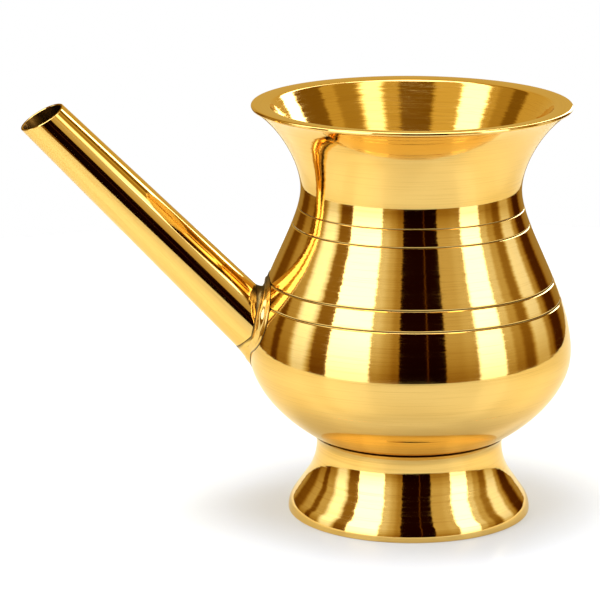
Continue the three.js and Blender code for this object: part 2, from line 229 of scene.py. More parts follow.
# Studio
# Tall soft panels of light, dimmer at their feet, stand round the table, with dim warm gaps
# between them and a black one straight ahead, where the camera is. They lean in, so each
# looks wider the higher it is seen. The camera itself sees white.
WALL_LEVEL = 0.62
WALLS = [
    # azimuth, half width and soft edge in degrees, brightness
    (-27, 5, 8, 0.85),
    (-12, 3.5, 6, 0.42),
    (-47, 16.2, 2.2, 3.8),
    (-70, 6.8, 2, 0.30),
    (-88, 8, 9, 1.9),
    (-114, 4, 4, 0.20),
    (-140, 9, 8, 0.25),
    (7.2, 16.7, 1.2, 0.01),
    (10.8, 0.4, 0.4, 0.15),
    (43, 5, 7, 0.70),
    (59.5, 10.8, 3.5, 3.8),
    (75, 4, 4, 0.90),
    (93, 5, 5, 0.34),
    (108, 8, 6, 1.3),
    (133, 9, 8, 0.10),
    (180, 30, 10, 0.75),
]
WALL_LEAN = 0.22
WALL_FEET_FROM = -0.08
WALL_FEET_TO = 0.42
WALL_FEET_SHARE = 0.5
WALL_WARMTH = (1.0, 1.5, 3.0)
WALL_WHITE = 1.0


def azimuth_of(tree, place, lean):
    """The angle round from straight ahead, and the height, of a direction or a place from
    the lota's axis. Ahead grows by a lean times the height squared."""
    parts = add_node(tree, "ShaderNodeSeparateXYZ", [(0, place)])
    height = parts.outputs["Z"]
    square = add_node(tree, "ShaderNodeMath", [(0, height), (1, height)], operation="MULTIPLY")
    leaned = add_node(tree, "ShaderNodeMath", [(0, square), (1, lean)], operation="MULTIPLY")
    ahead = add_node(
        tree, "ShaderNodeMath", [(0, leaned), (1, parts.outputs["Y"])], operation="SUBTRACT"
    )
    azimuth = add_node(
        tree, "ShaderNodeMath", [(0, parts.outputs["X"]), (1, ahead)], operation="ARCTAN2"
    )
    return azimuth, height


def banded(tree, azimuth, level, panels):
    """Brightness by azimuth: each panel in turn covers what was there before it."""
    for centre, half, soft, brightness in panels:
        away = add_node(
            tree, "ShaderNodeMath", [(0, azimuth), (1, math.radians(centre))], operation="SUBTRACT"
        )
        turned = add_node(
            tree, "ShaderNodeMath", [(0, away), (1, math.pi), (2, -math.pi)], operation="WRAP"
        )
        apart = add_node(tree, "ShaderNodeMath", [(0, turned)], operation="ABSOLUTE")
        share = add_node(
            tree,
            "ShaderNodeMapRange",
            [
                ("Value", apart),
                ("From Min", math.radians(half + soft / 2)),
                ("From Max", math.radians(half - soft / 2)),
            ],
            interpolation_type="SMOOTHSTEP",
        )
        level = add_node(
            tree, "ShaderNodeMix", [(0, share), (2, level), (3, brightness)], data_type="FLOAT"
        )
    return level


def warm_light(tree, level, powers, white):
    """The colour of light of some brightness, warmer the dimmer it is. Each channel is white
    times (level over white) to a power of its own, and never more than the level."""
    channels = []
    for power in powers:
        share = add_node(tree, "ShaderNodeMath", [(0, level), (1, white)], operation="DIVIDE")
        raised = add_node(tree, "ShaderNodeMath", [(0, share), (1, power)], operation="POWER")
        scaled = add_node(tree, "ShaderNodeMath", [(0, raised), (1, white)], operation="MULTIPLY")
        channels.append(
            add_node(tree, "ShaderNodeMath", [(0, scaled), (1, level)], operation="MINIMUM")
        )
    return add_node(tree, "ShaderNodeCombineColor", list(enumerate(channels)))


world = bpy.data.worlds.new("studio")
bpy.context.scene.world = world
world.use_nodes = True
tree = world.node_tree
tree.nodes.clear()
direction = add_node(tree, "ShaderNodeTexCoord")
azimuth, height = azimuth_of(tree, direction.outputs["Generated"], WALL_LEAN)
walls = banded(tree, azimuth, WALL_LEVEL, WALLS)
rise = add_node(
    tree,
    "ShaderNodeMapRange",
    [
        ("Value", height),
        ("From Min", WALL_FEET_FROM),
        ("From Max", WALL_FEET_TO),
        ("To Min", WALL_FEET_SHARE),
    ],
)
level = add_node(tree, "ShaderNodeMath", [(0, walls), (1, rise)], operation="MULTIPLY")
colour = warm_light(tree, level, WALL_WARMTH, WALL_WHITE)
path = add_node(tree, "ShaderNodeLightPath")
studio = add_node(tree, "ShaderNodeBackground", [("Color", colour)])
white = add_node(tree, "ShaderNodeBackground", [("Color", linear("#FFFFFF"))])
around = add_node(
    tree, "ShaderNodeMixShader", [(0, path.outputs["Is Camera Ray"]), (1, studio), (2, white)]
)
add_node(tree, "ShaderNodeOutputWorld", [("Surface", around)])


# Canopy
# A round canopy of soft panels hangs over the lota and shows inside its flared mouth, under
# one plain panel. Its lower edge is nearer the table behind than in front. The camera
# doesn't see it.
CANOPY_RADIUS = 200 * MM
CANOPY_TOP = 520 * MM
CANOPY_EDGE = 200 * MM
CANOPY_TILT = 0.55
CANOPY_STEPS = 96
CANOPY_LEVEL = 0.62
CANOPY = [
    # azimuth, half width and soft edge in degrees, brightness
    (-46, 18, 6, 0.72),
    (-80, 15, 6, 2.9),
    (-112, 7, 5, 0.45),
    (-127, 8, 5, 0.22),
    (-8, 23, 8, 0.20),
    (26, 9, 6, 0.62),
    (50, 13, 9, 2.1),
    (79, 11.5, 6, 0.42),
    (98, 5, 5, 0.6),
    (121, 16, 4, 0.22),
    (143, 8, 4, 6.0),
    (180, 22, 8, 0.64),
]
CANOPY_WARMTH = (1.0, 1.28, 2.3)
CANOPY_WHITE = 2.4
TOP_LIGHT = 3.2


def grid_faces(rows, columns, close_rows=True):
    """Four-cornered faces of a grid of places whose rows each run round and close. The last
    row may close on the first."""
    row = np.arange(rows if close_rows else rows - 1)
    row, column = np.meshgrid(row, np.arange(columns), indexing="ij")
    next_row, next_column = (row + 1) % rows, (column + 1) % columns
    corners = [(row, column), (row, next_column), (next_row, next_column), (next_row, column)]
    return np.stack([r * columns + c for r, c in corners], -1).reshape(-1, 4)


# Lit cloth: bright and dim bands round the lota, and the dim ones warm.
canopy_light, tree = new_material("canopy_panels")
place = add_node(tree, "ShaderNodeTexCoord")
centred = add_node(
    tree,
    "ShaderNodeMapping",
    [("Vector", place.outputs["Object"]), ("Location", (-AXIS_X, 0, 0))],
)
azimuth, _ = azimuth_of(tree, centred, 0.0)
level = banded(tree, azimuth, CANOPY_LEVEL, CANOPY)
colour = warm_light(tree, level, CANOPY_WARMTH, CANOPY_WHITE)
glow = add_node(tree, "ShaderNodeEmission", [("Color", colour)])
add_node(tree, "ShaderNodeOutputMaterial", [("Surface", glow)])

turns = np.linspace(0, 2 * np.pi, CANOPY_STEPS, endpoint=False)
left, back = CANOPY_RADIUS * np.cos(turns), CANOPY_RADIUS * np.sin(turns)
low_edge = [AXIS_X + left, back, CANOPY_EDGE - CANOPY_TILT * back]
top_edge = [AXIS_X + left, back, CANOPY_TOP + 0 * turns]
canopy = add_mesh(
    "canopy",
    np.stack([low_edge, top_edge]).transpose(0, 2, 1).reshape(-1, 3),
    grid_faces(2, CANOPY_STEPS, close_rows=False),
    canopy_light,
)

# Lit cloth: an even white.
top_light, tree = new_material("top_panel")
glow = add_node(
    tree, "ShaderNodeEmission", [("Color", linear("#FFFFFF")), ("Strength", TOP_LIGHT)]
)
add_node(tree, "ShaderNodeOutputMaterial", [("Surface", glow)])
top_panel = add_mesh(
    "top_panel", np.stack(top_edge, -1), np.arange(CANOPY_STEPS)[None, :], top_light
)
for panel in (canopy, top_panel):
    panel.visible_camera = False


# Lower bowl
# The lower shell of the body is a deep dish of cast brass, turned on a lathe inside and
# out and buffed to a mirror. The lathe leaves fine lines that run round it.
BELLY_RADIUS = 49.25
BELLY_HEIGHT = 50.6
BOWL_BASE_HEIGHT = 16.4
BOWL_FLAT = 23.9
BOWL_ROUND = 16.35
WALL = 2.0
SEAM_DROP = 11
SEAM_HEIGHT = BELLY_HEIGHT - SEAM_DROP
SEAM_LAND = 0.8
SEAM_BEVEL = 1.6
BODY_SEGMENTS = 224
BOWL_STEPS = 70
BOWL_INSIDE_STEPS = 60
HALVINGS = 40
MERGE_DISTANCE = 1e-7
SHARP_ANGLE = math.radians(30)
BRASS_COLOUR = "#F5CF7C"
HAIRLINE_COLOUR = "#D2A04C"
# The colour and roughness of painted shade, in the grooves and at the spout's braze.
PAINTED_SHADE_COLOUR = "#2A1606"
BRASS_ROUGHNESS = 0.035
PAINTED_SHADE_ROUGHNESS = 0.45
LATHE_LINES = (30, 30, 0.3)
LATHE_SLOPES = (0.035, 0.03)
STREAK_DETAIL = 3
STREAK_ROUGHNESS = 0.6
DULL_SHIFT = 11.0
DULL_FROM = -0.1
DULL_TO = 0.3
DULLEST = 4
HAIRLINE_SHIFT = 19.0
HAIRLINE_FROM = 0.02
HAIRLINE_TO = 0.6


def bezier(corners, shares):
    """Points of a cubic curve: the four corners weighted by the Bernstein polynomials."""
    t = np.asarray(shares, float)[:, None]
    a, b, c, d = (np.array(corner, float) for corner in corners)
    return a * (1 - t) ** 3 + 3 * b * t * (1 - t) ** 2 + 3 * c * t**2 * (1 - t) + d * t**3


def offset(corners, shares, distance):
    """Points of a curve moved square to it, to the left of the way it runs."""
    t = np.asarray(shares, float)[:, None]
    a, b, c, d = (np.array(corner, float) for corner in corners)
    way = (b - a) * (1 - t) ** 2 + 2 * (c - b) * t * (1 - t) + (d - c) * t**2
    way /= np.linalg.norm(way, axis=1, keepdims=True)
    return bezier(corners, shares) + distance * np.column_stack([-way[:, 1], way[:, 0]])


def share_at_height(corners, height, distance=0.0):
    """The share along a rising curve, moved square by a distance, that is at a height. It
    halves the span between a share below and one above, again and again."""
    low, high = 0.0, 1.0
    for _ in range(HALVINGS):
        middle = (low + high) / 2
        if offset(corners, [middle], distance)[0, 1] < height:
            low = middle
        else:
            high = middle
    return (low + high) / 2


def finish_mesh(piece):
    """Merges coincident corners, turns the faces out and shades all but sharp edges smooth."""
    work = bmesh.new()
    work.from_mesh(piece.data)
    bmesh.ops.remove_doubles(work, verts=work.verts, dist=MERGE_DISTANCE)
    bmesh.ops.recalc_face_normals(work, faces=work.faces)
    work.to_mesh(piece.data)
    work.free()
    piece.data.shade_smooth()
    piece.data.set_sharp_from_angle(angle=SHARP_ANGLE)


def add_field(piece, name, values):
    """A number at each corner of a piece, as an attribute that its material reads."""
    field = piece.data.attributes.new(name, "FLOAT", "POINT")
    field.data.foreach_set("value", np.asarray(values, float).ravel())


def turn(name, outline, material, segments=BODY_SEGMENTS, painted_shade=0.0):
    """Turns a closed outline of (radius, height) in millimetres about the lota's axis.
    "along" holds how far round the outline each place is, in metres, and the painted-shade
    attribute how much shade is painted on it, from 0 to 1."""
    outline = np.asarray(outline, float)
    turns = np.linspace(0, 2 * np.pi, segments, endpoint=False)
    radius = outline[:, 0][:, None]
    places = np.stack(
        [
            AXIS_X + radius * np.cos(turns) * MM,
            radius * np.sin(turns) * MM,
            np.repeat(outline[:, 1][:, None], segments, 1) * MM,
        ],
        -1,
    )
    piece = add_mesh(name, places.reshape(-1, 3), grid_faces(len(outline), segments), material)
    steps = np.linalg.norm(np.diff(outline, axis=0), axis=1)
    add_field(piece, "along", np.repeat(np.concatenate([[0], np.cumsum(steps)]) * MM, segments))
    add_field(piece, "painted_shade", np.repeat(painted_shade + np.zeros(len(outline)), segments))
    finish_mesh(piece)
    return piece


def streaks(tree, place, sizes, shift):
    """Noise from about -0.3 to 0.3, drawn out to sizes in millimetres along X, Y and Z."""
    scaled = add_node(
        tree,
        "ShaderNodeMapping",
        [
            ("Vector", place),
            ("Location", (shift, shift, shift)),
            ("Scale", [1 / (size * MM) for size in sizes]),
        ],
    )
    noise = add_node(
        tree,
        "ShaderNodeTexNoise",
        [
            ("Vector", scaled),
            ("Scale", 1.0),
            ("Detail", STREAK_DETAIL),
            ("Roughness", STREAK_ROUGHNESS),
        ],
    )
    return add_node(
        tree, "ShaderNodeMath", [(0, noise.outputs["Fac"]), (1, 0.5)], operation="SUBTRACT"
    )


def brush(tree, place, axis, sizes, roughness, slopes):
    """Brass polished in lines: a mirror whose normal is tipped a little, line by line, round
    an axis and along it, by the two slopes. Some lines are duller, some are browner
    hairlines, and shade is painted on it, dark and dull, where its painted-shade attribute says
    so."""
    around_by, along_by = slopes
    normal = add_node(tree, "ShaderNodeNewGeometry").outputs["Normal"]
    square = add_node(
        tree, "ShaderNodeVectorMath", [(0, axis), (1, normal)], operation="CROSS_PRODUCT"
    )
    around = add_node(tree, "ShaderNodeVectorMath", [(0, square)], operation="NORMALIZE")
    uphill = add_node(
        tree, "ShaderNodeVectorMath", [(0, around), (1, normal)], operation="CROSS_PRODUCT"
    )
    tips = [
        # way it is tipped, slope, times as coarse as the lines, shift of the noise
        (around, around_by, 1.6, 7.0),
        (uphill, along_by, 1.0, 3.0),
        (uphill, along_by / 2, 4.0, 5.0),
    ]
    for way, slope, coarser, shift in tips:
        amount = add_node(
            tree,
            "ShaderNodeMath",
            [(0, streaks(tree, place, [size * coarser for size in sizes], shift)), (1, slope)],
            operation="MULTIPLY",
        )
        tip = add_node(
            tree, "ShaderNodeVectorMath", [(0, way), ("Scale", amount)], operation="SCALE"
        )
        normal = add_node(tree, "ShaderNodeVectorMath", [(0, normal), (1, tip)], operation="ADD")
    normal = add_node(tree, "ShaderNodeVectorMath", [(0, normal)], operation="NORMALIZE")
    dull = add_node(
        tree,
        "ShaderNodeMapRange",
        [
            ("Value", streaks(tree, place, sizes, DULL_SHIFT)),
            ("From Min", DULL_FROM),
            ("From Max", DULL_TO),
            ("To Min", roughness),
            ("To Max", roughness * DULLEST),
        ],
    )
    scratched = add_node(
        tree,
        "ShaderNodeMapRange",
        [
            ("Value", streaks(tree, place, sizes, HAIRLINE_SHIFT)),
            ("From Min", HAIRLINE_FROM),
            ("From Max", HAIRLINE_TO),
        ],
    )
    metal = add_node(
        tree,
        "ShaderNodeMix",
        [(0, scratched), (6, linear(BRASS_COLOUR)), (7, linear(HAIRLINE_COLOUR))],
        data_type="RGBA",
    )
    # Painted shade: darker and duller where the attribute says so.
    painted_shade = add_node(tree, "ShaderNodeAttribute", attribute_name="painted_shade").outputs["Fac"]
    colour = add_node(
        tree,
        "ShaderNodeMix",
        [(0, painted_shade), (6, metal.outputs[2]), (7, linear(PAINTED_SHADE_COLOUR))],
        data_type="RGBA",
    )
    rough = add_node(
        tree, "ShaderNodeMix", [(0, painted_shade), (2, dull), (3, PAINTED_SHADE_ROUGHNESS)], data_type="FLOAT"
    )
    shader = add_node(
        tree,
        "ShaderNodeBsdfPrincipled",
        [
            ("Base Color", colour.outputs[2]),
            ("Metallic", 1.0),
            ("Roughness", rough),
            ("Normal", normal),
        ],
    )
    add_node(tree, "ShaderNodeOutputMaterial", [("Surface", shader)])


def turned_brass(name, sizes, roughness, slopes):
    """Brass turned on a lathe and polished, with lines that run round the lota's axis. Its
    places are X, Y and, for Z, how far along the outline they are."""
    material, tree = new_material(name)
    place = add_node(tree, "ShaderNodeTexCoord")
    centred = add_node(
        tree,
        "ShaderNodeMapping",
        [("Vector", place.outputs["Object"]), ("Location", (-AXIS_X, 0, 0))],
    )
    flat = add_node(tree, "ShaderNodeSeparateXYZ", [(0, centred)])
    along = add_node(tree, "ShaderNodeAttribute", attribute_name="along")
    rings = add_node(
        tree,
        "ShaderNodeCombineXYZ",
        [("X", flat.outputs["X"]), ("Y", flat.outputs["Y"]), ("Z", along.outputs["Fac"])],
    )
    brush(tree, rings, (0, 0, 1), sizes, roughness, slopes)
    return material


# Buffed brass: a golden mirror with fine rings and here and there a browner hairline.
body_brass = turned_brass(
    "turned_and_buffed_cast_brass", LATHE_LINES, BRASS_ROUGHNESS, LATHE_SLOPES
)

bowl_curve = [
    (0, BOWL_BASE_HEIGHT),
    (BOWL_FLAT, BOWL_BASE_HEIGHT),
    (BELLY_RADIUS, BELLY_HEIGHT - BOWL_ROUND),
    (BELLY_RADIUS, BELLY_HEIGHT),
]
seam_share = share_at_height(bowl_curve, SEAM_HEIGHT)
seam_outer = bezier(bowl_curve, [seam_share])
seam_land = seam_outer - [[SEAM_LAND, 0]]
below_share = share_at_height(bowl_curve, SEAM_HEIGHT - SEAM_BEVEL, WALL)
above_share = share_at_height(bowl_curve, SEAM_HEIGHT + SEAM_BEVEL, WALL)
bowl_inside = offset(bowl_curve, np.linspace(below_share, 0, BOWL_INSIDE_STEPS), WALL)
bowl_inside[-1, 0] = 0
bowl_outline = np.vstack(
    [bezier(bowl_curve, np.linspace(0, seam_share, BOWL_STEPS)), seam_land, bowl_inside]
)
lower_bowl = turn("lower_bowl_turned", bowl_outline, body_brass)
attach(lower_bowl, "root")
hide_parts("lower_bowl")


# Upper body
# Belly, shoulder, neck and flared rim are one cast shell, brazed to the bowl under the
# widest line. Two pairs of lines are cut round it with the point of a turning tool.
TOTAL_HEIGHT = 127
RIM_RADIUS = 48.5
RIM_EDGE = 1.3
LIP_WIDTH = 5.6
LIP_FALL = 0.4
LIP_ROUND = 0.7
NECK_RADIUS = 33.55
NECK_HEIGHT = 101
BELLY_ROUND = 18.25
NECK_ROUND = 12.1
THROAT_ROUND = 8.2
FLARE_REACH = 9.3
FLARE_ANGLE = math.radians(34)
THROAT_ANGLE = math.radians(57)
THROAT_CORNER = 8
RIM_EDGE_FROM = math.radians(-60)
RIM_SEGMENTS = 144
EDGE_STEPS = 12
THROAT_STEPS = 36
SHOULDER_STEPS = 420
FLARE_STEPS = 60
BELLY_STEPS = 16
SHOULDER_INSIDE_STEPS = 70
BELLY_INSIDE_STEPS = 12
THROAT_ROUGHNESS = BRASS_ROUGHNESS * 1.2
THROAT_LINES = (14, 14, 0.35)
THROAT_SLOPES = (0.07, 0.02)
GROOVES = [
    # height, width and depth
    (NECK_HEIGHT - 5.5, 0.5, 0.16),
    (NECK_HEIGHT - 10.7, 0.6, 0.2),
    (BELLY_HEIGHT + 22.5, 0.8, 0.26),
    (BELLY_HEIGHT + 16.6, 0.8, 0.26),
]
# Shade is painted into each groove, most in its upper half.
PAINTED_SHADE_RISE = 0.15
PAINTED_SHADE_REACH = 0.6

shoulder_curve = [
    (BELLY_RADIUS, BELLY_HEIGHT),
    (BELLY_RADIUS, BELLY_HEIGHT + BELLY_ROUND),
    (NECK_RADIUS, NECK_HEIGHT - NECK_ROUND),
    (NECK_RADIUS, NECK_HEIGHT),
]
flare_top = np.array([RIM_RADIUS - RIM_EDGE / 2, TOTAL_HEIGHT - RIM_EDGE])
flare_curve = [
    (NECK_RADIUS, NECK_HEIGHT),
    (NECK_RADIUS, NECK_HEIGHT + THROAT_ROUND),
    flare_top - FLARE_REACH * np.array([math.cos(FLARE_ANGLE), math.sin(FLARE_ANGLE)]),
    flare_top,
]
lip_inner = np.array([RIM_RADIUS - LIP_WIDTH, TOTAL_HEIGHT - LIP_FALL])


def arc(centre, radius, start, end, steps):
    """Points of an arc by the angle from the outward way. A radius below zero gives the
    arc that has the centre outside it."""
    turns = np.linspace(start, end, steps)
    return np.array(centre) + radius * np.column_stack([np.cos(turns), np.sin(turns)])


rim_centre = (RIM_RADIUS - RIM_EDGE / 2, TOTAL_HEIGHT - RIM_EDGE / 2)
rim_edge = arc(rim_centre, RIM_EDGE / 2, RIM_EDGE_FROM, math.pi / 2, EDGE_STEPS)


def unit(way):
    """A vector made one long."""
    return way / np.linalg.norm(way)


def throat():
    """The inside of the flare: the rounded inner edge of the lip, a straight cone, and an arc
    that touches it and the upright inside of the neck."""
    inside = NECK_RADIUS - WALL
    lean = math.pi / 2 - THROAT_ANGLE
    drop = (lip_inner[0] - inside) / math.tan(lean)
    upright = lip_inner[1] - drop - THROAT_CORNER * math.tan(lean / 2)
    centre = (inside + THROAT_CORNER, upright)
    corner = arc(centre, -THROAT_CORNER, -lean, 0, THROAT_STEPS)
    on_lip = lip_inner + LIP_ROUND * unit(rim_edge[-1] - lip_inner)
    on_cone = lip_inner + LIP_ROUND * unit(corner[0] - lip_inner)
    edge = bezier([on_lip, lip_inner, lip_inner, on_cone], np.linspace(0, 1, EDGE_STEPS))
    cone = np.linspace(0, 1, THROAT_STEPS)[1:-1, None]
    return np.vstack([edge, on_cone * (1 - cone) + corner[0] * cone, corner])


def grooved_shoulder():
    """The shoulder's outside, sunk at each groove by its depth times one minus the square of
    the distance over half the width, and how much shade is painted on each place, which is
    most in the upper half of a groove."""
    shares = np.linspace(0, 1, SHOULDER_STEPS)[1:]
    height = bezier(shoulder_curve, shares)[:, 1]
    sunk = np.zeros_like(height)
    painted_shade = np.zeros_like(height)
    for centre, width, depth in GROOVES:
        reach = (height - centre) / (width / 2)
        sunk += depth * (1 - np.clip(np.abs(reach), 0, 1) ** 2)
        painted_shade += 1 - np.clip(np.abs(reach - PAINTED_SHADE_RISE) / PAINTED_SHADE_REACH, 0, 1) ** 2
    places = [offset(shoulder_curve, [share], depth) for share, depth in zip(shares, sunk)]
    return np.vstack(places), painted_shade


belly = np.vstack([seam_land, bezier(bowl_curve, np.linspace(seam_share, 1, BELLY_STEPS))])
shoulder, groove_shade = grooved_shoulder()
outside = np.vstack(
    [belly, shoulder, bezier(flare_curve, np.linspace(0, 1, FLARE_STEPS))[1:], rim_edge]
)
inside = np.vstack(
    [
        throat(),
        offset(shoulder_curve, np.linspace(1, 0, SHOULDER_INSIDE_STEPS)[:-1], WALL),
        offset(bowl_curve, np.linspace(1, above_share, BELLY_INSIDE_STEPS), WALL),
    ]
)
body_shade = np.zeros(len(outside) + len(inside))
body_shade[len(belly) : len(belly) + len(shoulder)] = groove_shade
upper_body = turn(
    "upper_body_turned", np.vstack([outside, inside]), body_brass, RIM_SEGMENTS, body_shade
)

# Brushed brass: a golden mirror whose images are drawn out into soft streaks.
throat_brass = turned_brass(
    "brushed_cast_brass_inside", THROAT_LINES, THROAT_ROUGHNESS, THROAT_SLOPES
)
upper_body.data.materials.append(throat_brass)
for face in upper_body.data.polygons[len(outside) * RIM_SEGMENTS :]:
    face.material_index = 1
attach(upper_body, "root")
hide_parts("upper_body")


# Belly braze
# Brazing metal fills the bevels inside the joint of the two shells. It was turned flush
# with the inside wall and shows there as a band of slightly duller metal.
FILLER_ROUGHNESS = BRASS_ROUGHNESS * 2
FILLER_SLOPES = (0.02, 0.04)

# Turned brass, not buffed: golden, with softer mirror images and fine rings.
filler_brass = turned_brass(
    "brazing_brass_as_turned", LATHE_LINES, FILLER_ROUGHNESS, FILLER_SLOPES
)

seam_above = offset(bowl_curve, [above_share], WALL)
seam_below = offset(bowl_curve, [below_share], WALL)
belly_braze = turn(
    "belly_braze_ring", np.vstack([seam_land, seam_above, seam_below]), filler_brass
)
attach(belly_braze, "root")
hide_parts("belly_braze")


# Foot
# The foot is a flared, hollow ring of the same cast brass, turned with the body. Its top
# is bevelled to the underside of the bowl, and it stands on a narrow flat sole.
FOOT_RADIUS = 37.2
FOOT_WAIST_RADIUS = 28.5
FOOT_TOP_RADIUS = 29.7
FOOT_WALL = 1.9
FOOT_EDGE = 0.7
FOOT_EDGE_ROUND = 0.6
FOOT_SHOULDER = 8
FOOT_HOLLOW = 18
FOOT_CUP = 5
JOINT_GAP = 0.3
SOLE_STEPS = 6
FOOT_LOW_STEPS = 10
FOOT_FLANK_STEPS = 14
FOOT_HOLLOW_STEPS = 24
FOOT_CUP_STEPS = 12
CURVE_STEPS = 2001
SMALL_SHARE = 1e-4
FOOT_LINES = (60, 60, 0.7)
FOOT_SLOPES = (0.03, 0.08)


def share_at_radius(curve, radius):
    """The share along a curve that runs outwards at which it reaches a radius."""
    shares = np.linspace(0, 1, CURVE_STEPS)
    return float(np.interp(radius, bezier(curve, shares)[:, 0], shares))


def foot_top_height(radius):
    """The height of the foot's bevelled top at a radius, a joint's gap under the bowl."""
    share = share_at_radius(bowl_curve, radius)
    here, beyond = bezier(bowl_curve, [share, share + SMALL_SHARE])
    way = beyond - here
    return here[1] - JOINT_GAP * np.linalg.norm(way) / way[0]


cup_turn = math.acos(1 - (FOOT_TOP_RADIUS - FOOT_WAIST_RADIUS) / FOOT_CUP)
waist_height = foot_top_height(FOOT_TOP_RADIUS) - FOOT_CUP * math.sin(cup_turn)
round_centre = np.array([FOOT_RADIUS - FOOT_SHOULDER, FOOT_EDGE])
hollow_centre = np.array([FOOT_WAIST_RADIUS + FOOT_HOLLOW, waist_height])
across = hollow_centre - round_centre
flank_lean = math.atan2(across[1], across[0]) - math.acos(
    (FOOT_SHOULDER + FOOT_HOLLOW) / np.linalg.norm(across)
)


def foot_side(inwards):
    """The foot's side from its bottom band to its narrowest place, moved inwards: an arc, a
    straight flank that touches both arcs, and a hollow arc."""
    low = arc(round_centre, FOOT_SHOULDER - inwards, 0, flank_lean, FOOT_LOW_STEPS)
    high = arc(hollow_centre, -FOOT_HOLLOW - inwards, flank_lean, 0, FOOT_HOLLOW_STEPS)
    flank = np.linspace(0, 1, FOOT_FLANK_STEPS)[1:-1, None]
    return np.vstack([low, low[-1] * (1 - flank) + high[0] * flank, high])


sole_centre = (FOOT_RADIUS - FOOT_EDGE_ROUND, FOOT_EDGE_ROUND)
sole_edge = arc(sole_centre, FOOT_EDGE_ROUND, -math.pi / 2, 0, SOLE_STEPS)
cup_centre = (FOOT_WAIST_RADIUS + FOOT_CUP, waist_height)
cup = arc(cup_centre, -FOOT_CUP, 0, -cup_turn, FOOT_CUP_STEPS)
inner_radius = FOOT_WAIST_RADIUS - FOOT_WALL
foot_outline = np.vstack(
    [
        (FOOT_RADIUS - FOOT_WALL, 0),
        sole_edge,
        foot_side(0),
        cup[1:],
        (inner_radius, foot_top_height(inner_radius)),
        foot_side(FOOT_WALL)[::-1],
    ]
)

# Turned brass, lightly buffed: a golden mirror that wider rings of the tool break up.
foot_brass = turned_brass(
    "turned_cast_brass_with_tool_rings", FOOT_LINES, BRASS_ROUGHNESS, FOOT_SLOPES
)
foot = turn("foot_turned", foot_outline, foot_brass)
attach(foot, "root")
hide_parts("foot")


# Foot braze
# A fillet of brazing metal fills the corner between the foot and the underside of the bowl,
# inside the foot, where it was run in from below.
FOOT_BRAZE_LEG = 2.6
FILLET_STEPS = 9

wall_radius = inner_radius - JOINT_GAP
inner_end = wall_radius - FOOT_BRAZE_LEG
on_wall = np.array([wall_radius, foot_top_height(wall_radius) - FOOT_BRAZE_LEG])
on_bowl = np.array([inner_end, foot_top_height(inner_end)])
hollow = np.array([(wall_radius * 2 + inner_end) / 3, (on_wall[1] + on_bowl[1] * 2) / 3])
fillet_outline = np.vstack(
    [
        on_wall,
        (wall_radius, foot_top_height(wall_radius)),
        bezier([on_bowl, hollow, hollow, on_wall], np.linspace(0, 1, FILLET_STEPS)[:-1]),
    ]
)
foot_braze = turn("foot_braze_fillet", fillet_outline, filler_brass)
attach(foot_braze, "root")
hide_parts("foot_braze")


# Spout
# The spout is a straight tube of thin brass, a little narrower at its mouth. It stands at 45
# degrees in a hole bored through the belly's wall, and its mouth was cut aslant by hand.
SPOUT_ANGLE = math.radians(45)
SPOUT_RISE = 8.8
SPOUT_HEIGHT = BELLY_HEIGHT + SPOUT_RISE
SPOUT_LENGTH = 89.6
SPOUT_ROOT_RADIUS = 8.95
SPOUT_MOUTH_RADIUS = 7.05
SPOUT_WALL = 0.7
MOUTH_PITCH = math.radians(29.2)
MOUTH_ROLL = math.radians(9)
SPOUT_SEGMENTS = 128
SPOUT_STEPS = 90
MOUTH_STEPS = 5
MOUTH_EDGE = SPOUT_WALL / 4
MOUTH_REACH = 10
WALL_STEPS = 400
INSIDE_REACH = 30
DRILL_REACH = 18
TUBE_LINES = (0.5, 0.5, 40)
TUBE_SLOPES = (0.012, 0.012)
BORE_COLOUR = "#6E5126"
BORE_ROUGHNESS = 0.3


def wall_points(curves, distance):
    """Points up a wall that is joined from rising curves, moved square to them."""
    shares = np.linspace(0, 1, WALL_STEPS)
    return np.vstack([offset(curve, shares, distance) for curve in curves])


def radius_at(wall, heights):
    """The radius of a wall at given heights."""
    return np.interp(heights, wall[:, 1], wall[:, 0])


outer_wall = wall_points([bowl_curve, shoulder_curve, flare_curve], 0)
inner_wall = wall_points([bowl_curve, shoulder_curve], WALL)
spout_root = np.array([-radius_at(outer_wall, SPOUT_HEIGHT), 0, SPOUT_HEIGHT])
spout_way = np.array([-math.sin(SPOUT_ANGLE), 0, math.cos(SPOUT_ANGLE)])
spout_up = np.array([math.cos(SPOUT_ANGLE), 0, math.sin(SPOUT_ANGLE)])
spout_side = np.array([0, 1, 0])


def spout_radius(along):
    """The radius of the spout's outside, which falls evenly along it."""
    return SPOUT_ROOT_RADIUS + (SPOUT_MOUTH_RADIUS - SPOUT_ROOT_RADIUS) * along / SPOUT_LENGTH


def beside_spout(angle, along, over):
    """A place round the spout, by angle from its upper side, way along it from its root and
    height over its surface, in millimetres from the lota's axis."""
    angle, along, over = (np.asarray(v, float)[..., None] for v in (angle, along, over))
    round_it = np.cos(angle) * spout_up + np.sin(angle) * spout_side
    return spout_root + along * spout_way + (spout_radius(along) + over) * round_it


def meets_wall(angle, over, wall):
    """How far along the spout a line on it, at a height over it, comes out of a wall. It
    halves the span between a place inside and one outside, again and again."""
    inside = np.full(angle.shape, -INSIDE_REACH, float)
    outside = np.full(angle.shape, SPOUT_LENGTH, float)
    for _ in range(HALVINGS):
        middle = (inside + outside) / 2
        place = beside_spout(angle, middle, over)
        within = np.hypot(place[..., 0], place[..., 1]) < radius_at(wall, place[..., 2])
        inside = np.where(within, middle, inside)
        outside = np.where(within, outside, middle)
    return (inside + outside) / 2


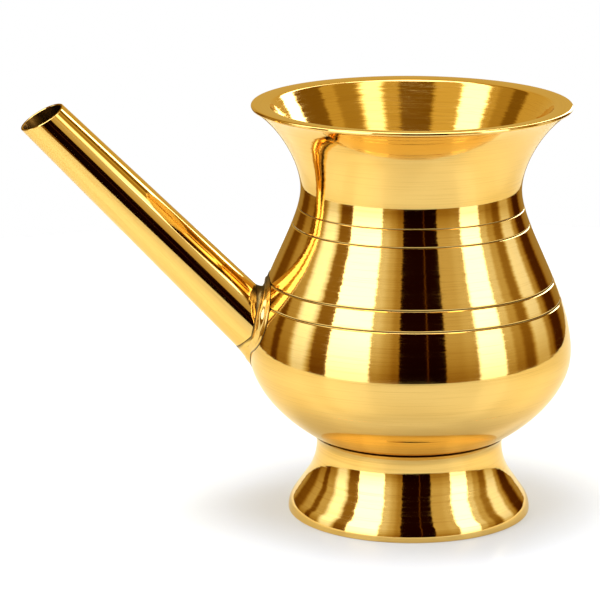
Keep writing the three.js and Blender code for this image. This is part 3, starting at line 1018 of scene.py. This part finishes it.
def mouth_at(angle, over):
    """How far along the spout a line on it meets the plane of the mouth."""
    normal = np.array(
        [
            -math.cos(MOUTH_ROLL) * math.sin(MOUTH_PITCH),
            -math.sin(MOUTH_ROLL),
            math.cos(MOUTH_ROLL) * math.cos(MOUTH_PITCH),
        ]
    )
    centre = spout_root + SPOUT_LENGTH * spout_way
    near = (beside_spout(angle, SPOUT_LENGTH - MOUTH_REACH, over) - centre) @ normal
    far = (beside_spout(angle, SPOUT_LENGTH + MOUTH_REACH, over) - centre) @ normal
    return SPOUT_LENGTH - MOUTH_REACH - 2 * MOUTH_REACH * near / (far - near)


def bore(piece, tool):
    """Cuts a closed piece out of another, and does away with it."""
    cut = piece.modifiers.new("cut", "BOOLEAN")
    cut.object = tool
    cut.solver = "EXACT"
    whole = piece.evaluated_get(bpy.context.evaluated_depsgraph_get())
    bored = bpy.data.meshes.new_from_object(whole)
    piece.modifiers.clear()
    piece.data = bored
    bpy.data.objects.remove(tool)
    finish_mesh(piece)


drill_mesh = bpy.data.meshes.new("drill")
work = bmesh.new()
bmesh.ops.create_cone(
    work,
    cap_ends=True,
    segments=SPOUT_SEGMENTS,
    radius1=(spout_radius(-DRILL_REACH) + JOINT_GAP) * MM,
    radius2=(spout_radius(DRILL_REACH) + JOINT_GAP) * MM,
    depth=2 * DRILL_REACH * MM,
    matrix=Matrix.Translation(spout_root * MM + [AXIS_X, 0, 0])
    @ Matrix.Rotation(-SPOUT_ANGLE, 4, "Y"),
)
work.to_mesh(drill_mesh)
work.free()
drill = bpy.data.objects.new("drill", drill_mesh)
bpy.context.scene.collection.objects.link(drill)
bore(upper_body, drill)

tube_turns = np.linspace(0, 2 * np.pi, SPOUT_SEGMENTS, endpoint=False)
outer_from = meets_wall(tube_turns, 0, inner_wall)
inner_from = meets_wall(tube_turns, -SPOUT_WALL, inner_wall)
outer_to = mouth_at(tube_turns, 0) - MOUTH_EDGE
inner_to = mouth_at(tube_turns, -SPOUT_WALL) - MOUTH_EDGE
rows = []
for share in np.linspace(0, 1, SPOUT_STEPS):
    rows.append(beside_spout(tube_turns, outer_from + (outer_to - outer_from) * share, 0))
for angle in np.linspace(0, np.pi, MOUTH_STEPS)[1:-1]:
    over = -SPOUT_WALL / 2 * (1 - math.cos(angle))
    end = mouth_at(tube_turns, over) - MOUTH_EDGE * (1 - math.sin(angle))
    rows.append(beside_spout(tube_turns, end, over))
outside_rows = len(rows)
for share in np.linspace(1, 0, SPOUT_STEPS // 2):
    along = inner_from + (inner_to - inner_from) * share
    rows.append(beside_spout(tube_turns, along, -SPOUT_WALL))

# Drawn brass tube, polished: a golden mirror with faint lines along it.
tube_brass, tree = new_material("drawn_and_polished_brass_tube")
place = add_node(tree, "ShaderNodeTexCoord")
laid_up = add_node(
    tree,
    "ShaderNodeMapping",
    [("Vector", place.outputs["Object"]), ("Rotation", (0, SPOUT_ANGLE, 0))],
)
brush(tree, laid_up, spout_way, TUBE_LINES, BRASS_ROUGHNESS, TUBE_SLOPES)

# Tarnished brass: dull brown metal, seen only inside the tube.
bore_brass, tree = new_material("tarnished_brass_in_the_bore")
tarnish = add_node(
    tree,
    "ShaderNodeBsdfPrincipled",
    [("Base Color", linear(BORE_COLOUR)), ("Metallic", 1.0), ("Roughness", BORE_ROUGHNESS)],
)
add_node(tree, "ShaderNodeOutputMaterial", [("Surface", tarnish)])

spout = add_mesh(
    "spout_tube",
    np.stack(rows).reshape(-1, 3) * MM + [AXIS_X, 0, 0],
    grid_faces(len(rows), SPOUT_SEGMENTS),
    tube_brass,
)
spout.data.materials.append(bore_brass)
for face in spout.data.polygons[outside_rows * SPOUT_SEGMENTS :]:
    face.material_index = 1
finish_mesh(spout)
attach(spout, "root")
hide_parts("spout")


# Spout braze
# Brazing metal, run in by hand, joins the spout to the body. It spreads widest beside the
# spout, with a lumpy bead along it, has shade painted dark beside the spout, along its
# outer edge and over the spout's top, and under the spout it ends in a straight tail.
BRAZE_TOP_LEG = 5
BRAZE_SIDE_LEG = 10.4
BRAZE_LOW_LEG = 1.2
BRAZE_WIDEST = math.radians(70)
BRAZE_NARROW = math.radians(130)
BRAZE_SPOUT_LEG = 0.6
BRAZE_TOP_RISE = 2
BRAZE_TOP_POWER = 3
BRAZE_TAIL_END = -1.7
BRAZE_ROUND = 1.5
BRAZE_THICKNESS = 0.12
BRAZE_ROOT_DEPTH = 0.4
BRAZE_EDGE_DEPTH = 0.3
BRAZE_BEADS = [
    # middle and half width as shares of the way across, and height
    (0.58, 0.19, 1.25),
    (0.87, 0.10, 0.35),
]
BRAZE_LUMPS = [
    # waves round the spout, share of the height, and shift in radians
    (5, 0.16, 0.7),
    (11, 0.10, 2.1),
    (23, 0.05, 4.0),
]
BRAZE_STEPS = 64
BRAZE_SEGMENTS = 256
# How far painted shade reaches from the spout, from the outer edge, and across the tail.
BRAZE_SHADE_REACH = 2.2
BRAZE_SHADE_AT_EDGE = 0.45
BRAZE_SHADE_ON_TAIL = 0.12
BRAZE_WAVES = (1.5, 1.5, 1.5)
BRAZE_SLOPES = (0.06, 0.06)


def smooth_share(value, start, end):
    """How far a value is from a start to an end, eased at both: 3 t squared less 2 t cubed."""
    t = np.clip((value - start) / (end - start), 0, 1)
    return t**2 * (3 - 2 * t)


braze_turns = np.linspace(0, 2 * np.pi, BRAZE_SEGMENTS, endpoint=False)
from_top = np.minimum(braze_turns, 2 * np.pi - braze_turns)
on_side = smooth_share(from_top, 0, BRAZE_WIDEST)
on_tail = smooth_share(from_top, BRAZE_WIDEST, BRAZE_NARROW)
on_top = np.maximum(0, np.cos(braze_turns)) ** BRAZE_TOP_POWER
braze_leg = BRAZE_TOP_LEG + (BRAZE_SIDE_LEG - BRAZE_TOP_LEG) * on_side
braze_leg += (BRAZE_LOW_LEG - braze_leg) * on_tail
corner = meets_wall(braze_turns, 0, outer_wall)
spout_end = np.maximum(corner + BRAZE_SPOUT_LEG + BRAZE_TOP_RISE * on_top, BRAZE_TAIL_END)
round_width = np.minimum(braze_leg, BRAZE_ROUND)
lumps = 1 + sum(
    amount * np.sin(waves * braze_turns + shift) for waves, amount, shift in BRAZE_LUMPS
)

sections = [
    beside_spout(braze_turns, corner - BRAZE_ROOT_DEPTH, -BRAZE_ROOT_DEPTH),
    beside_spout(braze_turns, spout_end, -BRAZE_EDGE_DEPTH),
]
braze_shade = [np.ones(BRAZE_SEGMENTS), np.ones(BRAZE_SEGMENTS)]
for share in np.linspace(0, 1, BRAZE_STEPS):
    over = share * braze_leg
    beside = over / BRAZE_SHADE_REACH
    rise = (spout_end - corner) * np.maximum(0, 1 - over / round_width) ** 2
    bead = (1 - on_top) * lumps * sum(
        height * (1 - min(abs(share - at) / half, 1) ** 2) ** 2
        for at, half, height in BRAZE_BEADS
    )
    wall = meets_wall(braze_turns, over, outer_wall)
    sections.append(beside_spout(braze_turns, wall + BRAZE_THICKNESS + rise + bead, over))
    # Painted shade beside the spout, at the outer edge and over the top.
    from_edge = (1 - share) * np.maximum(braze_leg, BRAZE_TOP_LEG)
    from_spout = beside + (share / BRAZE_SHADE_ON_TAIL - beside) * on_tail
    near = np.maximum(1 - from_spout, 1 - from_edge / BRAZE_SHADE_AT_EDGE)
    braze_shade.append(np.clip(np.maximum(near, on_top), 0, 1))
sections.append(beside_spout(braze_turns, wall - BRAZE_EDGE_DEPTH, braze_leg))
braze_shade.append(np.ones(BRAZE_SEGMENTS))

# Brazing brass: golden and wavy, and nearly black where shade is painted on it.
bead_brass, tree = new_material("brazing_brass_run_in_by_hand")
place = add_node(tree, "ShaderNodeTexCoord")
brush(tree, place.outputs["Object"], (0, 0, 1), BRAZE_WAVES, BRASS_ROUGHNESS, BRAZE_SLOPES)

spout_braze = add_mesh(
    "spout_braze_bead",
    np.stack(sections).reshape(-1, 3) * MM + [AXIS_X, 0, 0],
    grid_faces(len(sections), BRAZE_SEGMENTS),
    bead_brass,
)
add_field(spout_braze, "painted_shade", np.stack(braze_shade))
finish_mesh(spout_braze)
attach(spout_braze, "root")
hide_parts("spout_braze")
